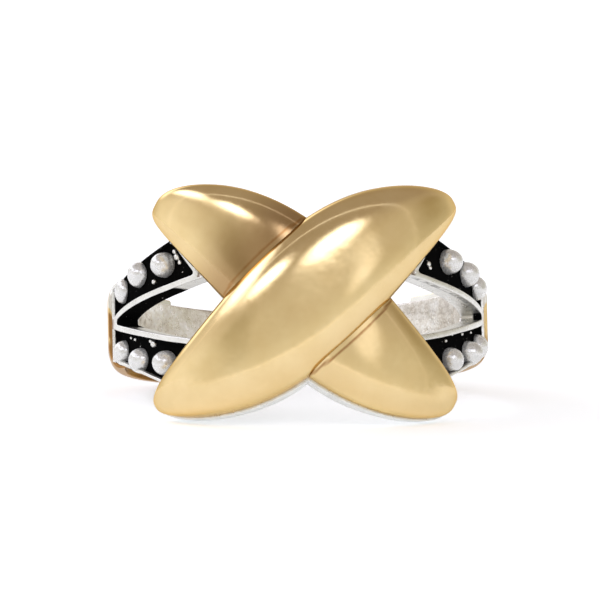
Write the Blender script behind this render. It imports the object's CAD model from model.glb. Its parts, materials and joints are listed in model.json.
# Crossover ring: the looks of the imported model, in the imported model's own frame.
# Lengths are millimetres in the ring's frame (axis +Z, crossing towards -Y) until
# place() lays them on the table in metres.
import json
import math

import bmesh
import bpy
import numpy as np
from mathutils import Matrix, Vector


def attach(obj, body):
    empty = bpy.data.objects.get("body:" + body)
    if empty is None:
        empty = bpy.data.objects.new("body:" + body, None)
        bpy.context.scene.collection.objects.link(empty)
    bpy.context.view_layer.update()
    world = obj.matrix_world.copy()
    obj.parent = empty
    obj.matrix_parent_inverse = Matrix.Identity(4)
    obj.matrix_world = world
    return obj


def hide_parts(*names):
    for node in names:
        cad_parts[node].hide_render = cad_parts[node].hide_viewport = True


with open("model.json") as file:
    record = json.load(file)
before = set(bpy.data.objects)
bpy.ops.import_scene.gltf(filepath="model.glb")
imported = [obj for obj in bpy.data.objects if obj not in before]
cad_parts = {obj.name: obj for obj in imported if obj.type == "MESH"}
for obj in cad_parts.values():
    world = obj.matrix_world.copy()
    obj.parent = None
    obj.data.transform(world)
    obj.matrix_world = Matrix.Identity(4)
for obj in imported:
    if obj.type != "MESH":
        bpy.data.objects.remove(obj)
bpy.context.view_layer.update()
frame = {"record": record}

# ---------------------------------------------------------------- sizes of the part

# radii: the finger hole, the band's face, the channels' floor, the base plate and the pods' seat
FINGER_R, BAND_T, CHANNEL_DEEP, PLATE_RISE, SEAT_GAP = 8.675, 1.25, 0.5, 0.55, 0.02
FACE_R = FINGER_R + BAND_T
FLOOR_R = FACE_R - CHANNEL_DEEP
PLATE_R = FACE_R + PLATE_RISE
SEAT_R = PLATE_R + SEAT_GAP
# widths of the band, the split between its branches and the rims of their channels
SIDE_W, BACK_W, SHOULDER_W = 3.9, 3.45, 7.7
SPLIT_ALONG, SPLIT_TIP_R = 14.1, 0.15
SPLIT_HALF = math.radians(11)
INNER_RIM, OUTER_RIM, SIDE_RIM, LAND_W = 0.32, 0.18, 0.2, 0.62
BRANCH_DROP = 0.2
# the beads; a row's start and pitch differ on the left, -1, and the right, 1
BEAD_D, BEAD_LIFT, BEAD_OVER, BEAD_UP = 1.4, 0.12, 0.12, 2.6
BEAD_START, BEAD_PITCH = {-1: 8.5, 1: 9.3}, {-1: 2.42, 1: 2.2}
# the pods and the base plate
CROSS_ALONG, CROSS_UP, POD_W = 16.05, 10.5, 6.25
OVER_H, UNDER_H, POD_EDGE, PLATE_LIP, UPPER_LIP = 2.4, 1.65, 0.1, 0.15, 0.03
OVER_SWELL, UNDER_SWELL = 0.52, 0.4
# bow of a pod's middle line, and how fast the bow and the width ease off towards the tips
POD_BOW, BOW_EASE, WIDTH_EASE = 2.2, 0.6, 0.3
MOUTH_ANGLE = math.radians(27)
MOUTH, MOUTH_UP = math.tan(MOUTH_ANGLE), SHOULDER_W / 2 + BRANCH_DROP
# what every outer face keeps back from the modelled one
SKIN = 0.003
COLLAR_ALONG, COLLAR_L, COLLAR_RISE = 14.75, 8.7, 0.18
COLLAR_LINER, COLLAR_LIP, COLLAR_ROUND = 0.5, 0.33, 1.2

BEADS = [(side, row, i) for side in (-1, 1) for row in (1, -1) for i in (1, 2, 3)]
# how much each ball of a row is raised or flattened above its seat, from the gold to the collar
SQUASH = {(-1, 1): (1.25, 0.95, 0.72), (-1, -1): (1.25, 1.0, 0.9),
          (1, 1): (1.25, 1.1, 0.95), (1, -1): (1.1, 1.25, 0.95)}
# granules of solder in the channels: degrees from the front, height and radius
GRANULES = [(-55.0, 1.64, 0.15), (-55.6, -1.64, 0.2), (-57.3, -1.45, 0.13), (-67.5, -1.16, 0.1),
            (-71.0, -1.0, 0.09), (-43.9, 2.75, 0.2), (-42.9, 2.45, 0.14), (-45.0, 3.05, 0.15),
            (43.9, 2.2, 0.16), (44.7, 2.0, 0.12), (52.0, -1.75, 0.1), (56.0, -1.35, 0.08),
            (63.0, -1.2, 0.1), (72.0, -0.95, 0.08)]

CHANNEL_END = COLLAR_ALONG - SIDE_RIM
BACK_ALONG = math.pi * FACE_R
TIP_ALONG = SPLIT_ALONG - SPLIT_TIP_R / math.sin(SPLIT_HALF)
ROUND_ALONG = TIP_ALONG + SPLIT_TIP_R * math.sin(SPLIT_HALF)
SPLIT_END = TIP_ALONG + SPLIT_TIP_R
SHOULDER_ALONG, FLARE_END = 0.57 * SPLIT_ALONG, 1.08 * SPLIT_ALONG
TAPER_ALONG = COLLAR_ALONG + 0.6 * COLLAR_L
POD_HALF = math.hypot(CROSS_ALONG, CROSS_UP) / 2
POD_ANGLE = math.atan2(CROSS_UP, CROSS_ALONG)

MOUNT = frame["record"]["mounts"][0]
AXIS = MOUNT["axis"]
LEAN = math.asin(AXIS[0])
TILT = math.atan2(AXIS[1], AXIS[2])
LAY = (Matrix.Translation(MOUNT["pos_m"]) @ Matrix.Rotation(-TILT, 4, "X")
       @ Matrix.Rotation(LEAN, 4, "Y"))


def flare(s):
    """How far the shoulders have opened, from 0 on the band to 1 at the crossing."""
    far = np.maximum(SHOULDER_ALONG, np.abs(s))
    return np.maximum(0, (FLARE_END - far) / (FLARE_END - SHOULDER_ALONG)) ** 1.45


def mid(s):
    """Height of the middle of the branches."""
    return -BRANCH_DROP * flare(s)


def band_up(s):
    """Half the band's width at a distance from the crossing."""
    far = np.maximum(SHOULDER_ALONG, np.abs(s))
    taper = (1 - np.cos(np.pi * np.maximum(0, far - TAPER_ALONG) / (BACK_ALONG - TAPER_ALONG))) / 2
    return SIDE_W / 2 + (SHOULDER_W - SIDE_W) / 2 * flare(s) - (SIDE_W - BACK_W) / 2 * taper


def split_up(s):
    """Half the height of the split, round at its point and nothing beyond it."""
    straight = math.tan(SPLIT_HALF) * (SPLIT_ALONG - s)
    point = np.sqrt(np.maximum(0, SPLIT_TIP_R ** 2 - (s - TIP_ALONG) ** 2))
    return np.where(s < ROUND_ALONG, straight, np.where(s < SPLIT_END, point, 0))


def channel_low(s):
    return math.tan(SPLIT_HALF) * (SPLIT_ALONG - s) + INNER_RIM / math.cos(SPLIT_HALF)


def channel_high(s):
    return band_up(s) - OUTER_RIM


def pod_shape(u, power):
    """Offset of a pod's middle line and half its width, u going from -1 to 1 between the tips."""
    swell = np.maximum(0, 1 - u * u) ** power
    return (POD_BOW * (u - BOW_EASE * u ** 3) * swell,
            POD_W / 2 * (1 - WIDTH_EASE * u * u) * swell)


def from_pod(a, b):
    """From distances along and across a pod to along and up the ring."""
    return (a * math.cos(POD_ANGLE) - b * math.sin(POD_ANGLE),
            a * math.sin(POD_ANGLE) + b * math.cos(POD_ANGLE))


def pod_place(u, v, power, grow=0.0):
    """Place on a pod's outline: u from tip to tip, v from edge to edge."""
    bow, half = pod_shape(u, power)
    return from_pod(u * (POD_HALF + grow), bow + v * half * (1 + 2 * grow / POD_W))


def pod_frame(s, z, power):
    """Share of the way to a pod's tip, distance from its middle line and half its width there."""
    a = s * math.cos(POD_ANGLE) + z * math.sin(POD_ANGLE)
    b = z * math.cos(POD_ANGLE) - s * math.sin(POD_ANGLE)
    u = np.clip(a / POD_HALF, -1, 1)
    bow, half = pod_shape(u, power)
    return u, b - bow, np.maximum(half, 1e-9)


def on_ring(s, z, r):
    turn = s / FACE_R
    return np.stack(np.broadcast_arrays(r * np.sin(turn), -r * np.cos(turn), z), -1)


# ---------------------------------------------------------------- mesh helpers


def weld(points, quads):
    """Joins points that coincide and leaves out faces that shrink to a line."""
    points = np.asarray(points, float).reshape(-1, 3)
    keys, first, number = np.unique(np.round(points / 2e-5).astype(np.int64), axis=0,
                                    return_index=True, return_inverse=True)
    number = number.reshape(-1)
    faces = []
    for quad in number[np.asarray(quads)]:
        ring = [int(n) for i, n in enumerate(quad) if n != quad[i - 1]]
        if len(ring) >= 3 and len(set(ring)) == len(ring):
            faces.append(ring)
    return points[first], faces


def grid_quads(rows, cols, start=0, closed=False, flip=False):
    """Faces of a grid of points, numbered row by row."""
    i, k = np.meshgrid(np.arange(rows - 1), np.arange(cols if closed else cols - 1), indexing="ij")
    n = (k + 1) % cols
    quads = np.stack([i * cols + k, i * cols + n, (i + 1) * cols + n, (i + 1) * cols + k], -1)
    quads = quads.reshape(-1, 4) + start
    return quads[:, ::-1] if flip else quads


def new_mesh(name, points, faces):
    """An object in ring millimetres from welded points, with its faces turned outwards."""
    mesh = bpy.data.meshes.new(name)
    mesh.from_pydata(points.tolist(), [], faces)
    build = bmesh.new()
    build.from_mesh(mesh)
    bmesh.ops.recalc_face_normals(build, faces=build.faces)
    if build.calc_volume(signed=True) < 0:
        bmesh.ops.reverse_faces(build, faces=build.faces)
    loose = [e for e in build.edges if not e.is_manifold]
    if loose:
        print(name, "open or shared edges:", len(loose))
    build.to_mesh(mesh)
    build.free()
    made = bpy.data.objects.new(name, mesh)
    bpy.context.scene.collection.objects.link(made)
    return made


def place(made, material, slot, *nodes, sharp=35):
    """Lays a finished piece on the table in metres and lets it stand for its nodes."""
    made.data.transform(LAY @ Matrix.Scale(0.001, 4))
    made.data.shade_smooth()
    made.data.set_sharp_from_angle(angle=math.radians(sharp))
    made.data.materials.clear()
    made.data.materials.append(material)
    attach(made, "root")
    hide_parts(*nodes)


def combine(first, operation, others):
    """Adds solids to the first one, or cuts them out, and drops the objects they came from."""
    for other in others:
        step = first.modifiers.new("step", "BOOLEAN")
        step.operation, step.solver, step.object = operation, "MANIFOLD", other
    graph = bpy.context.evaluated_depsgraph_get()
    mesh = bpy.data.meshes.new_from_object(first.evaluated_get(graph))
    first.modifiers.clear()
    old = first.data
    first.data = mesh
    bpy.data.meshes.remove(old)
    mesh.name = first.name
    for other in others:
        gone = other.data
        bpy.data.objects.remove(other)
        bpy.data.meshes.remove(gone)


def sink(d, r):
    """How far a rounded edge of radius r lies below its face, d inside the edge."""
    inside = np.clip(r - d, 0, r)
    return r - np.sqrt(np.maximum(0, r * r - inside * inside))


def smooth(x, low, high):
    t = np.clip((x - low) / (high - low), 0, 1)
    return t * t * (3 - 2 * t)


def vertex_arrays(made):
    mesh = made.data
    both = []
    for name in ("co", "normal"):
        flat = np.zeros(len(mesh.vertices) * 3)
        mesh.vertices.foreach_get(name, flat)
        both.append(flat.reshape(-1, 3))
    return both


def paint(made, **layers):
    for name, values in layers.items():
        layer = made.data.attributes.new(name, "FLOAT", "POINT")
        layer.data.foreach_set("value", values.astype(np.float32))


def ring_places(points):
    """Distance from the crossing with its sign, height and radius of points."""
    return (np.arctan2(points[:, 0], -points[:, 1]) * FACE_R, points[:, 2],
            np.hypot(points[:, 0], points[:, 1]))


# places across a rounded edge, as shares of its radius
ROUND_STEPS = np.array([0, 0.076, 0.293, 0.617, 1])

# ---------------------------------------------------------------- materials


def node_material(name):
    made = bpy.data.materials.new(name)
    made.use_nodes = True
    return made, made.node_tree, made.node_tree.nodes["Principled BSDF"]


def noise(tree, scale, detail, rough):
    where = tree.nodes.new("ShaderNodeTexCoord")
    made = tree.nodes.new("ShaderNodeTexNoise")
    made.inputs["Scale"].default_value = scale
    made.inputs["Detail"].default_value = detail
    made.inputs["Roughness"].default_value = rough
    tree.links.new(where.outputs["Object"], made.inputs["Vector"])
    return made.outputs["Fac"]


def ramp(tree, fac, stops):
    made = tree.nodes.new("ShaderNodeValToRGB")
    line = made.color_ramp
    while len(line.elements) < len(stops):
        line.elements.new(0.5)
    for element, (at, colour) in zip(line.elements, stops):
        element.position = at
        element.color = (*colour, 1) if hasattr(colour, "__len__") else (colour, colour, colour, 1)
    tree.links.new(fac, made.inputs["Fac"])
    return made.outputs["Color"]


def bump(tree, shader, height, strength, distance):
    made = tree.nodes.new("ShaderNodeBump")
    made.inputs["Strength"].default_value = strength
    made.inputs["Distance"].default_value = distance
    tree.links.new(height, made.inputs["Height"])
    tree.links.new(made.outputs["Normal"], shader.inputs["Normal"])


def math_node(tree, operation, a, b=None, c=None):
    made = tree.nodes.new("ShaderNodeMath")
    made.operation = operation
    for socket, value in zip(made.inputs, (a, b, c)):
        if value is None:
            continue
        if isinstance(value, (int, float)):
            socket.default_value = value
        else:
            tree.links.new(value, socket)
    return made.outputs[0]


def blend(tree, fac, a, b, kind="MIX"):
    made = tree.nodes.new("ShaderNodeMix")
    made.data_type, made.blend_type = "RGBA", kind
    for name, value in (("Factor", fac), ("A", a), ("B", b)):
        # the colour sockets come after the float and vector ones of the same name
        socket = [s for s in made.inputs if s.name == name and s.enabled][0]
        if isinstance(value, tuple):
            socket.default_value = (*value, 1)
        elif isinstance(value, float):
            socket.default_value = value
        else:
            tree.links.new(value, socket)
    return [s for s in made.outputs if s.enabled][0]


def marked(tree, name, scale, low, high):
    """A painted layer of the mesh with a ragged edge."""
    layer = tree.nodes.new("ShaderNodeAttribute")
    layer.attribute_name = name
    ragged = math_node(tree, "MULTIPLY_ADD", noise(tree, scale, 4, 0.7), 0.5, -0.25)
    edge = math_node(tree, "ADD", layer.outputs["Fac"], ragged)
    return ramp(tree, edge, [(low, 0.0), (high, 1.0)])


GOLD_TINTS = [(0.35, (0.76, 0.575, 0.29)), (0.65, (0.80, 0.62, 0.33))]
GOLD_EDGE = (0.80, 0.66, 0.46, 1)
SHADED_GOLD, CREASE_BROWN = (0.44, 0.29, 0.14), (0.36, 0.19, 0.07)
LINING_SILVER = (0.80, 0.79, 0.75)
# the mottled inside of the band, from its brown spots to clean silver
MOTTLED = [(0.3, (0.56, 0.50, 0.43)), (0.5, (0.87, 0.84, 0.785)), (0.66, (1, 1, 1))]
LAND_BROWN = (0.36, 0.31, 0.26)
BLACK, BLACK_GLOSS = (0.004, 0.004, 0.004), (0.6, 0.6, 0.6)


def gold_material(name):
    made, tree, shader = node_material(name)
    shader.inputs["Metallic"].default_value = 1.0
    # the edges that turn away stay gold
    shader.inputs["Specular Tint"].default_value = GOLD_EDGE
    tint = ramp(tree, noise(tree, 600, 4, 0.6), GOLD_TINTS)
    shade = tree.nodes.new("ShaderNodeAttribute")
    shade.attribute_name = "shade"
    tint = blend(tree, shade.outputs["Fac"], tint, SHADED_GOLD)
    tint = blend(tree, marked(tree, "crease", 3000, 0.35, 1.1), tint, CREASE_BROWN)
    tint = blend(tree, marked(tree, "lining", 2500, 0.3, 0.7), tint, LINING_SILVER)
    tree.links.new(tint, shader.inputs["Base Color"])
    rough = ramp(tree, noise(tree, 2600, 4, 0.6), [(0.25, 0.11), (0.8, 0.18)])
    tree.links.new(rough, shader.inputs["Roughness"])
    bump(tree, shader, noise(tree, 420, 3, 0.5), 0.2, 0.0001)
    return made


def silver_material(name, tint, metallic, rough, grain):
    """Cast silver. The layers painted on a mesh mark where it is blackened, mottled or brown.

    rough is its smoothest and roughest, grain the scale, detail and roughness of its bumps and
    their strength.
    """
    made, tree, shader = node_material(name)
    colour = ramp(tree, noise(tree, 1500, 5, 0.65),
                  [(0.3, tuple(0.85 * c for c in tint)), (0.65, tint)])
    gloss = ramp(tree, noise(tree, 3000, 5, 0.65), [(0.3, rough[0]), (0.75, rough[1])])
    warm = ramp(tree, noise(tree, 900, 7, 0.8), MOTTLED)
    inside = marked(tree, "inside", 2000, 0.3, 0.7)
    colour = blend(tree, inside, colour, warm)
    colour = blend(tree, marked(tree, "land", 4000, 0.25, 0.7), colour, LAND_BROWN)
    # the black has fine light specks
    specks = ramp(tree, noise(tree, 7000, 2, 0.5), [(0.73, 1.0), (0.77, 0.3)])
    dark = math_node(tree, "MULTIPLY", marked(tree, "patina", 6000, 0.35, 0.6), specks)
    colour = blend(tree, dark, colour, BLACK)
    gloss = blend(tree, dark, gloss, BLACK_GLOSS)
    clean = math_node(tree, "SUBTRACT", 1.0, dark)
    tree.links.new(colour, shader.inputs["Base Color"])
    tree.links.new(gloss, shader.inputs["Roughness"])
    tree.links.new(math_node(tree, "MULTIPLY", clean, metallic), shader.inputs["Metallic"])
    tree.links.new(math_node(tree, "MULTIPLY", clean, 0.5), shader.inputs["Specular IOR Level"])
    lumps = math_node(tree, "MULTIPLY", noise(tree, 700, 4, 0.7), inside)
    lumps = math_node(tree, "MULTIPLY", lumps, 6.0)
    bump(tree, shader, math_node(tree, "ADD", noise(tree, *grain[:3]), lumps), grain[3], 0.00008)
    return made


GOLD = gold_material("polished_gold")
SILVER = silver_material("silver", (0.80, 0.795, 0.76), 1.0, (0.22, 0.42),
                         (2400, 6, 0.65, 0.35))
BEAD_SILVER = silver_material("bead_silver", (0.775, 0.775, 0.76), 0.6, (0.2, 0.34),
                              (1500, 3, 0.6, 0.9))

# ---------------------------------------------------------------- pods

# powers of the rounded shoulders of a pod, across and along it
DOME, CREST = 3.2, 2.4
# how far the under pod's ends stay off the over pod
CREASE_GAP = 0.006


def pod_height(u, v, h):
    crest = np.maximum(0, 1 - np.abs(u) ** CREST) ** (1 / CREST)
    dome = np.maximum(0, 1 - np.abs(v) ** DOME) ** (1 / DOME)
    return POD_EDGE + (h - POD_EDGE) * crest * dome


def spread(count, power):
    """Values from -1 to 1 that follow a rounded shoulder of that power evenly."""
    c = -np.cos(np.linspace(0, np.pi, count))
    return np.sign(c) * np.abs(c) ** (2 / power)


def over_height(s, z):
    """Height of the over pod at a place, or -1 beside it."""
    u, across, half = pod_frame(s, z, OVER_SWELL)
    v = across / half
    return np.where(np.abs(v) > 1, -1, pod_height(u, np.clip(v, -1, 1), OVER_H))


def over_pod():
    u = spread(151, CREST)[:, None]
    v = spread(97, DOME)[None, :]
    s, z = pod_place(u, v, OVER_SWELL, -SKIN)
    top = on_ring(s, z, SEAT_R - SKIN + pod_height(u, v, OVER_H))
    # the sides run into the tips, where every point of a row is the same
    bottom = on_ring(s, z, np.full_like(s, SEAT_R))
    points = np.concatenate([top.reshape(-1, 3), bottom.reshape(-1, 3)])
    rows, cols = s.shape
    half = rows * cols
    edge_l = np.array([[i * cols, half + i * cols, half + (i + 1) * cols, (i + 1) * cols]
                       for i in range(rows - 1)])
    edge_r = (edge_l + cols - 1)[:, ::-1]
    end_a = np.array([[k, k + 1, half + k + 1, half + k] for k in range(cols - 1)])
    end_b = (end_a + (rows - 1) * cols)[:, ::-1]
    quads = np.concatenate([grid_quads(rows, cols), grid_quads(rows, cols, half, flip=True),
                            edge_l, edge_r, end_a, end_b])
    return new_mesh("over_pod_gold", *weld(points, quads))


def under_pod(name, sign):
    v = spread(81, DOME)
    levels = np.linspace(0, 1, 12)

    def level(u, share):
        return POD_EDGE + share * (pod_height(u, v, UNDER_H) - POD_EDGE)

    def meets(share):
        out, inn = np.ones_like(v), np.zeros_like(v)
        for _ in range(30):
            u = (out + inn) / 2
            s, z = pod_place(u, v, UNDER_SWELL)
            met = over_height(-s, z) >= level(u, share)
            inn = np.where(met, u, inn)
            out = np.where(met, out, u)
        return out + CREASE_GAP / POD_HALF

    top_u, base_u = meets(1), meets(0)
    steps = np.sin(np.linspace(0, np.pi / 2, 90))
    parts, quads, count = [], [], 0

    def add(s, z, r, flip=False):
        nonlocal count
        grid = on_ring(-s * sign, z * sign, r)
        parts.append(grid.reshape(-1, 3))
        quads.append(grid_quads(*s.shape, start=count, flip=flip))
        count += s.size

    u = top_u + (1 - top_u) * steps[:, None]
    s, z = pod_place(u, v[None, :], UNDER_SWELL)
    add(s, z, SEAT_R + pod_height(u, v[None, :], UNDER_H))
    u_low = base_u + (1 - base_u) * steps[:, None]
    s_low, z_low = pod_place(u_low, v[None, :], UNDER_SWELL)
    add(s_low, z_low, np.full_like(s_low, SEAT_R), flip=True)
    for k, turned in ((0, False), (-1, True)):
        s_e = np.stack([s_low[:, k], s[:, k]], 0)
        z_e = np.stack([z_low[:, k], z[:, k]], 0)
        top = SEAT_R + pod_height(u[:, k], v[k], UNDER_H)
        r_e = np.stack([np.full(len(steps), SEAT_R), top], 0)
        add(s_e, z_e, r_e, flip=turned)
    rows_u = [base_u] + [meets(share) for share in levels]
    rows_h = [np.zeros_like(v)] + [level(at, share) for at, share in zip(rows_u[1:], levels)]
    u_e, h_e = np.stack(rows_u), np.stack(rows_h)
    s_e, z_e = pod_place(u_e, v[None, :], UNDER_SWELL)
    add(s_e, z_e, SEAT_R + h_e)
    return new_mesh(name, *weld(np.concatenate(parts), np.concatenate(quads)))


# ---------------------------------------------------------------- shank

# radii of the edges: split, channel rim, channel floor, inside of the band, band's outer edge
EDGE_R, RIM_R, FILLET_R, INSIDE_R, BAND_EDGE_R = 0.07, 0.055, 0.1, 0.13, 0.06
# slant of a channel's wall, and the radii of its corners beside the gold and the collar
WALL, CORNER_R, END_CORNER_R = 0.02, 0.28, 0.12
# the land beside the gold is sunk by this much, and the outer rim of an upper branch drops
LAND_SINK, RIM_DROP = 0.09, 0.3


def start_table(power, grow):
    """The pod's flank that a branch runs out of, as along over up."""
    u = np.linspace(0.3, 0.985, 600)
    s, z = pod_place(u, -1.0, power, grow)
    keep = np.concatenate([[True], np.diff(z) > 1e-6]).cumprod().astype(bool)
    return z[keep], s[keep]


def outer_lines(s):
    """Heights of the lines along a branch, from the split to the band's edge."""
    near = np.minimum(s, 14.9)
    e0, e1, e2, e3 = split_up(near), channel_low(near), channel_high(near), band_up(near)
    lines = []
    rim = e1 - e0
    for t in ROUND_STEPS:
        lines.append(e0 + t * EDGE_R)
    lines.append(e0 + rim * 0.5)
    for t in ROUND_STEPS[::-1]:
        lines.append(e1 - t * RIM_R)
    for d in (WALL, WALL + 0.1 * FILLET_R, WALL + 0.4 * FILLET_R, WALL + FILLET_R, 0.25):
        lines.append(e1 + d)
    for t in (0.3, 0.5, 0.7):
        lines.append(e1 + t * (e2 - e1))
    for d in (0.25, WALL + FILLET_R, WALL + 0.4 * FILLET_R, WALL + 0.1 * FILLET_R, WALL):
        lines.append(e2 - d)
    for t in ROUND_STEPS:
        lines.append(e2 + t * RIM_R)
    for t in ROUND_STEPS[::-1]:
        lines.append(e3 - t * BAND_EDGE_R)
    scale = band_up(s) / band_up(near)
    return [line * scale for line in lines]


LINES = len(outer_lines(np.array([10.0])))
# columns beside a pod's flank, by their distance from it
GROWS = np.array([-0.5, -0.2, 0.0, 0.05, 0.08, 0.11, 0.14, 0.18, 0.23, 0.28, 0.32, 0.36, 0.42, 0.48,
                  0.53, 0.56, 0.58, 0.6, 0.612, 0.62, 0.63, 0.64, 0.66, 0.69, 0.74, 0.82, 0.92, 1.05])
# columns further along, close together at the split's point, the channels' end and both ends
# of the collars
FIXED = np.concatenate([
    np.linspace(12.4, 13.3, 9),
    TIP_ALONG + SPLIT_TIP_R * np.sin(np.linspace(SPLIT_HALF, math.pi / 2, 9)),
    [13.475, 13.49, 13.51, 13.54, 13.58, 13.64, 13.72, 13.82, 13.94, 14.06, 14.16, 14.24, 14.3, 14.35,
     14.39, 14.42, 14.44, 14.46, 14.48, 14.5, 14.515, 14.53, 14.54, 14.55, 14.557, 14.57, 14.59, 14.605,
     14.65, 14.69, 14.71, 14.73, 14.743, 14.75, 14.7501, 14.9, 15.3],
    np.arange(15.8, 23.4, 0.45), [23.4499, 23.45, 23.457, 23.48, 23.52, 23.6, 23.75],
    np.linspace(24.1, BACK_ALONG, 22)])


def flank(power, land):
    """Distance from the pods' land to a place, and its slope, as a function."""
    z_t, s_t = start_table(power, land)
    slope_t = np.gradient(s_t, z_t)

    def away(s, z):
        base = np.interp(z, z_t, s_t)
        slope = np.interp(z, z_t, slope_t)
        return (s - base) / np.sqrt(1 + slope * slope)

    return away


def split_distance(s, z):
    """Distance from the outline of the split."""
    straight = (z - math.tan(SPLIT_HALF) * (SPLIT_ALONG - s)) * math.cos(SPLIT_HALF)
    point = np.hypot(s - TIP_ALONG, z) - SPLIT_TIP_R
    return np.where(s < ROUND_ALONG, straight, point)


def edge_distance(s, z):
    slope = (band_up(s + 0.01) - band_up(s - 0.01)) / 0.02
    return (band_up(s) - z) / np.sqrt(1 + slope * slope)


def channel_distance(s, z, pods):
    """Distance inside the outline of a channel, with rounded corners."""
    sides = [(z - channel_low(s)) * math.cos(SPLIT_HALF), channel_high(s) - z]
    far = CHANNEL_END - s

    def rounded(parts, r):
        short = sum(np.maximum(r - d, 0) ** 2 for d in parts)
        return r - np.sqrt(short)

    return np.minimum(rounded([*sides, pods], CORNER_R), rounded([*sides, far], END_CORNER_R))


def rim_drop(s):
    """How much lower the outer rim of an upper branch is; the beads cover it there."""
    return RIM_DROP * smooth(s, 7.6, 8.2) * (1 - smooth(s, 13.3, 14.2))


def outer_radius(s, z, pods, land_w, row):
    """Radius of a branch's outer face; pods is the distance past the land beside the gold."""
    d = channel_distance(s, z, pods)
    deep = FACE_R - FLOOR_R
    round_off = np.clip(FILLET_R - (d - WALL), 0, FILLET_R)
    bottom = FILLET_R - np.sqrt(np.maximum(0, FILLET_R ** 2 - round_off ** 2))
    wall = RIM_R + (deep - FILLET_R - RIM_R) * np.clip(d / WALL, 0, 1)
    drop = np.where(d <= 0, sink(-d, RIM_R), np.where(d < WALL, wall, deep - bottom))
    rim = np.minimum(split_distance(s, z), edge_distance(s, z))
    # beside the gold the land is sunk a little, and the end of the channel has a raised rim
    land = (LAND_SINK * smooth(pods + land_w, 0.1, 0.16) * smooth(-d, 0.2, 0.27)
            * smooth(rim, 0.1, 0.18) * (pods < 0))
    under = (s > COLLAR_ALONG + 5e-5) & (s < COLLAR_ALONG + COLLAR_L - 5e-5)
    plain = (FACE_R - sink(split_distance(s, z), EDGE_R)
             - sink(edge_distance(s, z), BAND_EDGE_R))
    if row > 0:
        plain = plain - rim_drop(s) * smooth(channel_high(s) - z, 0.02, 0.0) * (drop < 0.2)
    plain = plain - np.where(s < COLLAR_ALONG, drop + land, 0)
    return np.where(under, FINGER_R + COLLAR_LINER, plain)


def inner_radius(s, z):
    return (FINGER_R + sink(split_distance(s, z), INSIDE_R) + sink(edge_distance(s, z), INSIDE_R))


def branch(power, side, row, land_w):
    """A quarter of the band, from inside the plate to the middle of the back."""
    columns = []
    starts = []
    for grow in np.where(GROWS > 0.05, GROWS * land_w / LAND_W, GROWS):
        z_t, s_t = start_table(power, grow)
        s = np.full(LINES, 7.0)
        for _ in range(60):
            z = np.array([line[k] for k, line in enumerate(outer_lines(s))])
            s = 0.5 * s + 0.5 * np.interp(z + row * mid(s), z_t, s_t)
        starts.append(s)
    columns.extend(starts)
    for t in np.linspace(0, 1, 31)[1:-1]:
        columns.append(starts[-1] + (FIXED[0] - starts[-1]) * (0.75 * t + 0.25 * t * t))
    columns.extend(np.full(LINES, s) for s in FIXED)
    s = np.array(columns)
    lines = outer_lines(s)
    z = np.stack([line[:, k] for k, line in enumerate(lines)], -1)
    r = outer_radius(s, z, flank(power, land_w)(s, z + row * mid(s)), land_w, row)
    hidden = len(GROWS[GROWS < 0.04])
    # inner surface, from the band's edge back to the split
    low, high = z[:, :1], z[:, -1:]
    shares = np.concatenate([ROUND_STEPS * INSIDE_R, [0.5]])
    t = np.linspace(0, 1, 9)[1:-1]
    z_in = np.concatenate([high - ROUND_STEPS * INSIDE_R, high + (low - high) * t,
                           low + ROUND_STEPS[::-1] * INSIDE_R], 1)
    s_in = s[:, -1:] + (s[:, :1] - s[:, -1:]) * (high - z_in) / (high - low)
    r_in = inner_radius(s_in, z_in)
    r_in[:hidden] += 0.006
    steps = np.array([0.25, 0.5, 0.75])
    r_edge = r[:, -1:] + (r_in[:, :1] - r[:, -1:]) * steps
    r_split = r_in[:, -1:] + (r[:, :1] - r_in[:, -1:]) * steps
    s_all = np.concatenate([s, np.repeat(s[:, -1:], 3, 1), s_in, np.repeat(s[:, :1], 3, 1)], 1)
    z_all = np.concatenate([z, np.repeat(high, 3, 1), z_in, np.repeat(low, 3, 1)], 1)
    r_all = np.concatenate([r, r_edge, r_in, r_split], 1)
    points = on_ring(side * s_all, mid(s_all) + row * z_all, r_all)
    rows, cols = s_all.shape
    quads = grid_quads(rows, cols, closed=True)
    first_split = cols - 4
    tip = int(np.argmin(np.abs(s[:, 0] - SPLIT_END)))
    i, k = quads[:, 0] // cols, quads[:, 0] % cols
    quads = quads[~((i >= tip) & (k >= first_split))]
    cap = points[0].mean(0)
    fan = np.array([[rows * cols, (k + 1) % cols, k, k] for k in range(cols)])
    return (np.concatenate([points.reshape(-1, 3), cap[None]]),
            np.concatenate([quads, fan]))


def band():
    points, quads, count = [], [], 0
    # in the photo the upper right channel starts further from the gold
    wide_land = 0.95
    for power, side, row, land_w in ((OVER_SWELL, 1, 1, wide_land), (OVER_SWELL, -1, -1, LAND_W),
                                     (UNDER_SWELL, 1, -1, LAND_W), (UNDER_SWELL, -1, 1, LAND_W)):
        p, q = branch(power, side, row, land_w)
        points.append(p)
        quads.append((q if side * row > 0 else q[:, ::-1]) + count)
        count += len(p)
    return new_mesh("shank_silver", *weld(np.concatenate(points), np.concatenate(quads)))


def hole_r(z):
    return FINGER_R + np.maximum(0, np.abs(z) - MOUTH_UP) * MOUTH


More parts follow.
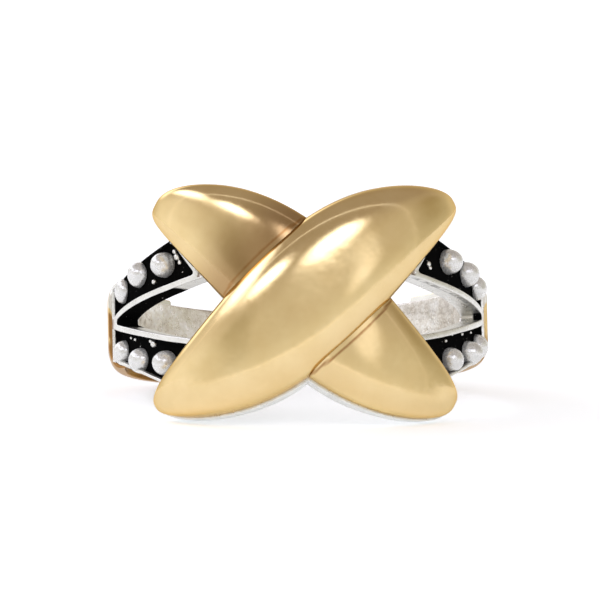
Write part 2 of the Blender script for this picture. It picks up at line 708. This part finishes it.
def plate(name, power, mirror, deeper):
    """The base plate under one pod.

    Its finger hole is wider by deeper, so that the two plates share no face.
    """
    u = -np.cos(np.linspace(0, np.pi, 161))[:, None]
    v = np.linspace(-1, 1, 49)[None, :]
    edge, inner_edge, tip_short = 0.04, 0.06, 0.05
    lip = PLATE_LIP - SKIN
    points, quads, count = [], [], 0

    def outline(u, v, grow):
        bow, half = pod_shape(u, power)
        reach = 1 + 2 * (grow - (PLATE_LIP - UPPER_LIP) * (1 + v) / 2) / POD_W
        return from_pod(u * (POD_HALF + grow - tip_short), bow + v * half * reach)

    def grid(grow, radius, flip):
        nonlocal count
        s, z = outline(u, v, grow)
        r = radius(z)
        points.append(on_ring(mirror * s, z, np.broadcast_to(r, s.shape)).reshape(-1, 3))
        quads.append(grid_quads(*s.shape, start=count, flip=flip))
        count += s.size

    def ring(grow, radius):
        s1, z1 = outline(u[:, 0], -1.0, grow)
        s2, z2 = outline(u[::-1, 0], 1.0, grow)
        s, z = np.concatenate([s1, s2]), np.concatenate([z1, z2])
        return on_ring(mirror * s, z, radius(z))

    grid(lip - edge, lambda z: np.full_like(z, PLATE_R), False)
    grid(lip - inner_edge, lambda z: hole_r(z) + deeper, True)
    rings = []
    for d in edge * ROUND_STEPS[::-1]:
        rings.append(ring(lip - d, lambda z, d=d: np.full_like(z, PLATE_R - sink(d, edge))))
    for t in (0.3, 0.6):
        rings.append(ring(lip, lambda z, t=t: ((PLATE_R - edge) * (1 - t)
                                               + (hole_r(z) + inner_edge) * t)))
    for d in inner_edge * ROUND_STEPS:
        rings.append(ring(lip - d, lambda z, d=d: hole_r(z) + deeper + sink(d, inner_edge)))
    size = len(rings[0])
    stack = np.stack(rings)
    points.append(stack.reshape(-1, 3))
    quads.append(grid_quads(len(rings), size, start=count, closed=True, flip=True))
    return new_mesh(name, *weld(np.concatenate(points), np.concatenate(quads)))


# how far past its outline a painted layer reaches
NEAR = 0.03


def paint_shank(made):
    """Marks the blackened channels and split points, the inside and the land beside the gold."""
    points, normals = vertex_arrays(made)
    s_signed, z_ring, r = ring_places(points)
    s = np.abs(s_signed)
    z = np.abs(z_ring - mid(s))
    out = (normals[:, :2] * points[:, :2]).sum(1) / r
    left, upper = s_signed < 0, z_ring > mid(s)
    in_channel = ((z > channel_low(s) - NEAR) & (z < channel_high(s) + NEAR)
                  & (s < CHANNEL_END + NEAR) & (r < FACE_R - 0.08) & (r > FLOOR_R - 0.02)
                  & ((out > -0.2) | (r < FLOOR_R + 0.06)))
    for degrees, height, size in GRANULES:
        far = np.hypot(s_signed - math.radians(degrees) * FACE_R, z_ring - height)
        in_channel &= (far > size * 1.1) | (r < FLOOR_R + 0.04)
    walls = (z <= split_up(s) + 0.05) & (s < SPLIT_END + 0.05) & (out > -0.5) & (out < 0.6)
    # the upper left wall is dark all along, the others only near the point
    dark_wall = np.where(left, smooth(s, 11.6, 12.4), smooth(s, 12.9, 13.3) * smooth(r, 9.3, 9.45))
    dark_wall = np.where(left & upper, smooth(s, 7.0, 8.0), dark_wall)
    land = ((r < FACE_R - 0.03) & (r > FACE_R - 0.16) & (out > 0.8) & (s < 12)
            & (z < channel_high(s) - 0.05))
    # the lowered rim is black between the beads
    worn = ((z_ring > 0) & (z > channel_high(s) - NEAR) & (r < FACE_R - 0.06) & (s < 13.6)
            & (out > -0.3))
    # a thin dark line runs under the right rim
    line = (~left & upper & (z < split_up(s) + NEAR) & (r < FACE_R - 0.07) & (r > FACE_R - 0.4)
            & (s < 13))
    inner = (out < -0.6) & (r < FINGER_R + 0.1)
    # the right half of the inside is browner towards its upper edge
    browner = np.where(inner & ~left, 0.42 * smooth(z_ring, 0.2, 1.2), 0)
    patina = np.where(walls, dark_wall, 0)
    for marked_there, strength in ((in_channel, 1.0), (worn, 0.85), (line, 0.46)):
        patina = np.maximum(patina, np.where(marked_there, strength, 0))
    paint(made, patina=patina, inside=np.where(inner, 1.0, 0.0),
          land=np.where(land, 1.0, browner))


def paint_crease(made, dull, reach):
    """Marks the gold beside the line where the pods meet, dull as far as reach from there."""
    points, _ = vertex_arrays(made)
    s, z, _ = ring_places(points)
    _, over, over_half = pod_frame(s, z, OVER_SWELL)
    _, under, under_half = pod_frame(-s, z, UNDER_SWELL)
    beside = np.abs(np.abs(over) - over_half)
    inside = under_half - np.abs(under)
    paint(made, crease=(1 - smooth(beside, 0.03, 0.15)) * smooth(inside, -0.15, 0.1),
          shade=(1 - smooth(beside, 0.1, reach)) * dull)


def paint_collar(made):
    """Marks a collar's silver lining, the left one's front streak and the darker lower gold."""
    points, normals = vertex_arrays(made)
    s, z, r = ring_places(points)
    s = np.abs(s)
    out = (normals[:, :2] * points[:, :2]).sum(1) / r
    left, past_front = points[:, 0] < 0, s - COLLAR_ALONG
    # silver inside the upper half, and a wedge of it at the front
    lining = ((out < -0.4) & (z > 0)) | ((z > 0.75 + 1.1 * past_front) & (past_front < 1.6))
    streak = left & (s < COLLAR_ALONG + 0.1) & (z > -0.75) & (z < 0.65)
    below = smooth(-z, 0.6, 1.3)
    low_line = 1 - smooth(np.abs(z + 1.8), 0.08, 0.16)
    edge = np.where(left, 1.15, 0.6) * below + 0.25 * low_line
    paint(made, lining=np.where(lining, 1.0, 0.0), crease=np.where(streak, 1.3, edge), shade=below)


# ---------------------------------------------------------------- collars and beads


def collar(name, side):
    gap, edge, plain = 0.02, 0.09, 0.3
    front, end = COLLAR_ALONG + gap, COLLAR_ALONG + COLLAR_L - gap
    s = np.concatenate([front + edge * ROUND_STEPS,
                        np.linspace(COLLAR_ALONG + plain, COLLAR_ALONG + COLLAR_L - plain, 60),
                        end - edge * ROUND_STEPS[::-1]])
    d = np.minimum(s - s[0], s[-1] - s)
    inset = sink(d, edge)
    low, high = FINGER_R + COLLAR_LINER + gap, FACE_R + COLLAR_RISE - SKIN
    corner = 0.04
    loops = []
    for at, back in zip(s, inset):
        w = float(np.minimum(band_up(at), SIDE_W / 2)) + COLLAR_LIP - back
        top, r, fall = high - back, COLLAR_ROUND, COLLAR_ROUND / 2
        turn = np.linspace(0, np.pi / 2, 19)
        z = np.concatenate([[-w + corner, -w], -w + r - r * np.cos(turn),
                            np.linspace(-w + r, w - r, 9)[1:-1], w - r + r * np.sin(turn),
                            [w, w - corner], np.linspace(w - corner, -w + corner, 7)[1:-1]])
        rr = np.concatenate([[low, low + corner], top - fall + fall * np.sin(turn),
                             np.full(7, top), top - fall + fall * np.cos(turn),
                             [low + corner, low], np.full(5, low)])
        loops.append(on_ring(side * at, z, rr))
    stack = np.stack(loops)
    rows, cols = stack.shape[:2]
    quads = [grid_quads(rows, cols, closed=True, flip=side > 0)]
    points = [stack.reshape(-1, 3)]
    for row in (0, rows - 1):
        centre = len(points[0]) + len(points) - 1
        points.append(stack[row].mean(0)[None])
        k = np.arange(cols)
        ahead = row * cols + (k + 1) % cols
        fan = np.stack([np.full(cols, centre), row * cols + k, ahead, ahead], -1)
        quads.append(fan if (row > 0) == (side > 0) else fan[:, ::-1])
    return new_mesh(name, *weld(np.concatenate(points), np.concatenate(quads)))


# the slow waves that make a ball uneven
DENTS, DENT_DEEP = 6, 0.004


def lump(name, along, up, lift, radius, sit, seed=None, squash=1.0):
    """A ball in a channel, flat at a height over the floor; with a seed it is a little uneven."""
    phi = np.linspace(0, np.pi, 29)[:, None]
    psi = np.linspace(0, 2 * np.pi, 49)[None, :-1]
    n = np.stack(np.broadcast_arrays(np.sin(phi) * np.cos(psi), np.sin(phi) * np.sin(psi),
                                     np.cos(phi)), -1)
    r = np.full(n.shape[:2], radius)
    if seed is not None:
        rand = np.random.default_rng(seed)
        for _ in range(DENTS):
            way = rand.normal(size=3)
            way /= np.linalg.norm(way)
            r -= DENT_DEEP * (1 + np.cos(3 * np.arccos(np.clip(n @ way, -1, 1))))
    p = n * r[..., None]
    # the last of the three directions is the one out of the ring
    over = np.maximum(p[..., 2] + lift - sit, 0) * squash + sit
    turn = along / FACE_R
    out = np.array([math.sin(turn), -math.cos(turn), 0])
    way = np.array([math.cos(turn), math.sin(turn), 0])
    points = (out * FLOOR_R + np.array([0, 0, up]) + p[..., :1] * way
              + p[..., 1:2] * np.array([0, 0, 1.0]) + over[..., None] * out)
    rows, cols = points.shape[:2]
    return new_mesh(name, *weld(points.reshape(-1, 3), grid_quads(rows, cols, closed=True)))


def ball(name, side, row, i, radius, sit, **form):
    """A ball on its bead's place."""
    along = BEAD_START[side] + (i - 1) * BEAD_PITCH[side]
    up = min(BEAD_UP, float(band_up(along)) + BEAD_OVER - BEAD_D / 2)
    return lump(name, side * along, float(mid(along)) + row * up, BEAD_LIFT, radius, sit, **form)


# ---------------------------------------------------------------- the pieces

# each pod with the dullness of its gold beside the crease and how far that reaches
PODS = [(over_pod(), "over_pod", 0.0, 1.0),
        (under_pod("under_pod_left_gold", 1), "under_pod_left", 1.0, 3.3),
        (under_pod("under_pod_right_gold", -1), "under_pod_right", 0.1, 2.4)]
for made, node, dull, reach in PODS:
    paint_crease(made, dull, reach)
    place(made, GOLD, "gold", node)

shank = band()
combine(shank, "UNION", [plate("plate_over", OVER_SWELL, 1, 0.0),
                         plate("plate_under", UNDER_SWELL, -1, 0.004)])
combine(shank, "DIFFERENCE", [ball("seat", *bead, BEAD_D / 2 + SEAT_GAP, 0.01) for bead in BEADS])
combine(shank, "UNION", [lump("granule", math.radians(degrees) * FACE_R, height,
                              0.3 * size, size, -0.1)
                         for degrees, height, size in GRANULES])
paint_shank(shank)
place(shank, SILVER, "silver", "shank")

for name, side in (("left", -1), ("right", 1)):
    made = collar(f"collar_{name}_gold", side)
    paint_collar(made)
    place(made, GOLD, "gold", f"collar_{name}")

for side, row, i in BEADS:
    node = f"bead_{'left' if side < 0 else 'right'}_{'upper' if row > 0 else 'lower'}_{i}"
    made = ball(node + "_ball", side, row, i, BEAD_D / 2 - 0.004, 0.021,
                seed=17 * i + 5 * side + 3 * row + 40, squash=SQUASH[side, row][i - 1])
    r = ring_places(vertex_arrays(made)[0])[2]
    paint(made, patina=1 - smooth(r, FLOOR_R + 0.03, FLOOR_R + 0.12))
    place(made, BEAD_SILVER, "bead_silver", node)

# ---------------------------------------------------------------- camera

# the fitted view: turn, height and roll, distance, and pixels to the millimetre at the ring's axis
turn_a, turn_e, roll = math.radians(-3.0), math.radians(-7.6), math.radians(1.2)
DISTANCE, PX = 450.0, 18.8
# where the middle of the ring lies in the picture, and the picture's size
MIDDLE_X, MIDDLE_Y, PICTURE = 297.5, 324.3, 600
SENSOR = 36.0
back = Vector((math.sin(turn_a) * math.cos(turn_e), -math.cos(turn_a) * math.cos(turn_e),
               math.sin(turn_e)))
right = Vector((0, 0, 1)).cross(back).normalized()
up = back.cross(right)
right, up = (math.cos(roll) * right - math.sin(roll) * up,
             math.sin(roll) * right + math.cos(roll) * up)
spot = (DISTANCE * back - (MIDDLE_X - PICTURE / 2) / PX * right
        + (MIDDLE_Y - PICTURE / 2) / PX * up)
pose = Matrix((right, up, back)).transposed().to_4x4()
pose.translation = spot * 0.001
camera = bpy.data.objects.new("camera", bpy.data.cameras.new("camera"))
bpy.context.scene.collection.objects.link(camera)
camera.matrix_world = LAY @ pose
camera.data.sensor_width = SENSOR
camera.data.lens = SENSOR * PX * DISTANCE / PICTURE
camera.data.clip_start, camera.data.clip_end = 0.01, 20
bpy.context.scene.camera = camera

# ---------------------------------------------------------------- floor and light

floor_mesh = bpy.data.meshes.new("floor")
FLOOR = 3
floor_mesh.from_pydata([(-FLOOR, -FLOOR, 0), (FLOOR, -FLOOR, 0), (FLOOR, FLOOR, 0),
                        (-FLOOR, FLOOR, 0)], [], [(0, 1, 2, 3)])
floor = bpy.data.objects.new("floor", floor_mesh)
bpy.context.scene.collection.objects.link(floor)
paper, _, shade = node_material("paper")
shade.inputs["Base Color"].default_value = (0.95, 0.95, 0.945, 1)
shade.inputs["Roughness"].default_value = 0.7
shade.inputs["Emission Color"].default_value = (0.84, 0.91, 1.0, 1)
shade.inputs["Emission Strength"].default_value = 0.42
floor.data.materials.append(paper)

world = bpy.data.worlds.new("studio")
bpy.context.scene.world = world
world.use_nodes = True
sky = world.node_tree
SKY_WAY = sky.nodes.new("ShaderNodeTexCoord").outputs["Generated"]


def along_way(vector):
    """How far the looked-at direction goes along a vector."""
    made = sky.nodes.new("ShaderNodeVectorMath")
    made.operation = "DOT_PRODUCT"
    sky.links.new(SKY_WAY, made.inputs[0])
    made.inputs[1].default_value = vector
    return made.outputs["Value"]


def soft_box(azimuth, elevation, half_w, half_h, strength):
    """A soft-edged bright patch of the room, in degrees; azimuth 0 is the front."""
    a, e = math.radians(azimuth), math.radians(elevation)
    out = Vector((math.sin(a) * math.cos(e), -math.cos(a) * math.cos(e), math.sin(e)))
    side = Vector((math.cos(a), math.sin(a), 0))
    x = along_way(side / math.sin(math.radians(half_w)))
    y = along_way(out.cross(side) / math.sin(math.radians(half_h)))
    q = math_node(sky, "MULTIPLY_ADD", x, x, math_node(sky, "MULTIPLY", y, y))
    falloff = math_node(sky, "MULTIPLY", math_node(sky, "MULTIPLY", q, q), -1.0)
    shape = math_node(sky, "EXPONENT", falloff)
    ahead = math_node(sky, "GREATER_THAN", along_way(out), 0.0)
    return math_node(sky, "MULTIPLY", math_node(sky, "MULTIPLY", shape, ahead), strength)


# the room from its middle height, 0.5, upwards: pale walls and a darker, warm ceiling
ROOM = [(0.5, (0.95, 0.93, 0.89)), (0.6, (0.88, 0.86, 0.81)), (0.72, (0.66, 0.61, 0.54)),
        (0.86, (0.46, 0.40, 0.35))]
# azimuth, elevation, half the width, half the height, strength; a negative strength darkens
PATCHES = [
    (-44, 37, 12, 6, 3.2),      # left main light, with a tighter core
    (-34, 36, 9, 4, 1.8),
    (13.5, 35, 17, 8, 3.7),     # right main light
    (-98, 40, 27, 8, 2.6),      # high on the left
    (-150, 24, 20, 10, 1.5),    # left rear
    (-10, 70, 60, 1.6, 0.9),    # thin line under the ceiling
    (0, 1, 75, 1.2, 0.5),       # thin line along the horizon
    (37, 19, 9, 6, 0.62),       # small fill on the right
    (-95, 14, 32, 20, 0.25),    # wide fill on the left
    (100, 12, 28, 20, -0.26),   # darker stretches of wall
    (-42, 17, 11, 7, -0.2),
    (56, 14, 13, 6, -0.07)]
# the lights are cooler than the walls
LIGHT_GAINS = (1.0, 1.04, 1.24)

shades = ramp(sky, math_node(sky, "MULTIPLY_ADD", along_way((0, 0, 1)), 0.5, 0.5), ROOM)
for patch in PATCHES:
    light = sky.nodes.new("ShaderNodeCombineColor")
    value = soft_box(*patch)
    for socket, gain in zip(light.inputs, LIGHT_GAINS):
        sky.links.new(math_node(sky, "MULTIPLY", value, gain), socket)
    shades = blend(sky, 1.0, shades, light.outputs[0], "ADD")
sky.links.new(shades, sky.nodes["Background"].inputs["Color"])
sky.nodes["Background"].inputs["Strength"].default_value = 1.0
bpy.context.scene.view_settings.view_transform = "Standard"
